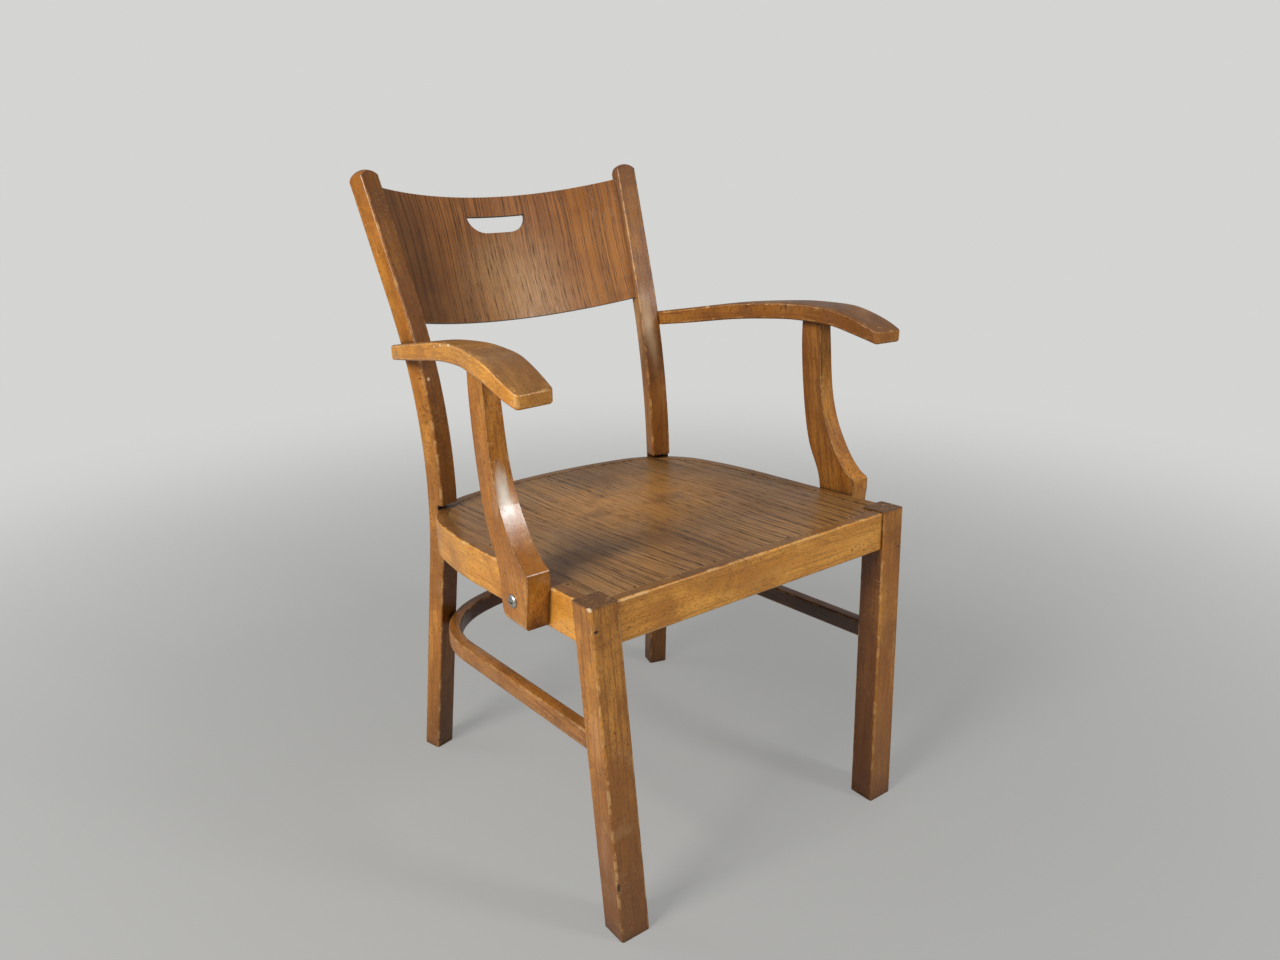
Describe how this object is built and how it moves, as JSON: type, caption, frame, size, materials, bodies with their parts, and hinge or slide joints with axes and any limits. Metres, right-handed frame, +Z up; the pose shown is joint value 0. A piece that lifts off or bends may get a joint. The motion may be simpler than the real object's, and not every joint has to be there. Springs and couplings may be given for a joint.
{
  "type": "armchair",
  "caption": "Wooden dining armchair with square legs, a bent hoop seat frame, a plywood seat, a curved plywood back with a hand hole, and bent open arms on shaped posts.",
  "frame": {"origin": "centre of the bounding box's footprint, on the floor under the feet", "axes": "+Z up, the chair's front faces -Y, +X is to the right of someone who looks at the chair's front; X = 0 is the plane of symmetry"},
  "size_m": [0.6066, 0.6682, 0.8749],
  "materials": {
    "frame_wood": "worn satin varnish",
    "seat_veneer": "worn varnished veneer",
    "back_veneer": "satin varnished veneer",
    "block_wood": "bare",
    "dowel_wood": "bare",
    "steel": "dull"
  },
  "bodies": {
    "root": {"front_leg_left": "frame_wood", "front_leg_right": "frame_wood", "back_post_left": "frame_wood", "back_post_right": "frame_wood", "front_rail": "frame_wood", "seat_ring": "frame_wood", "seat_panel": "seat_veneer", "back_panel": "back_veneer", "arm_left": "frame_wood", "arm_right": "frame_wood", "arm_post_left": "frame_wood", "arm_post_right": "frame_wood", "stretcher_hoop": "frame_wood", "corner_block_left": "block_wood", "corner_block_right": "block_wood", "rail_dowels": "dowel_wood", "stretcher_dowels": "dowel_wood", "arm_dowels": "dowel_wood", "arm_post_bolts": "steel", "arm_post_washers": "steel", "arm_post_nuts": "steel", "arm_screws": "steel", "arm_plugs": "dowel_wood", "frame_screws": "steel", "seat_pins": "steel"}
  },
  "joints": []
}
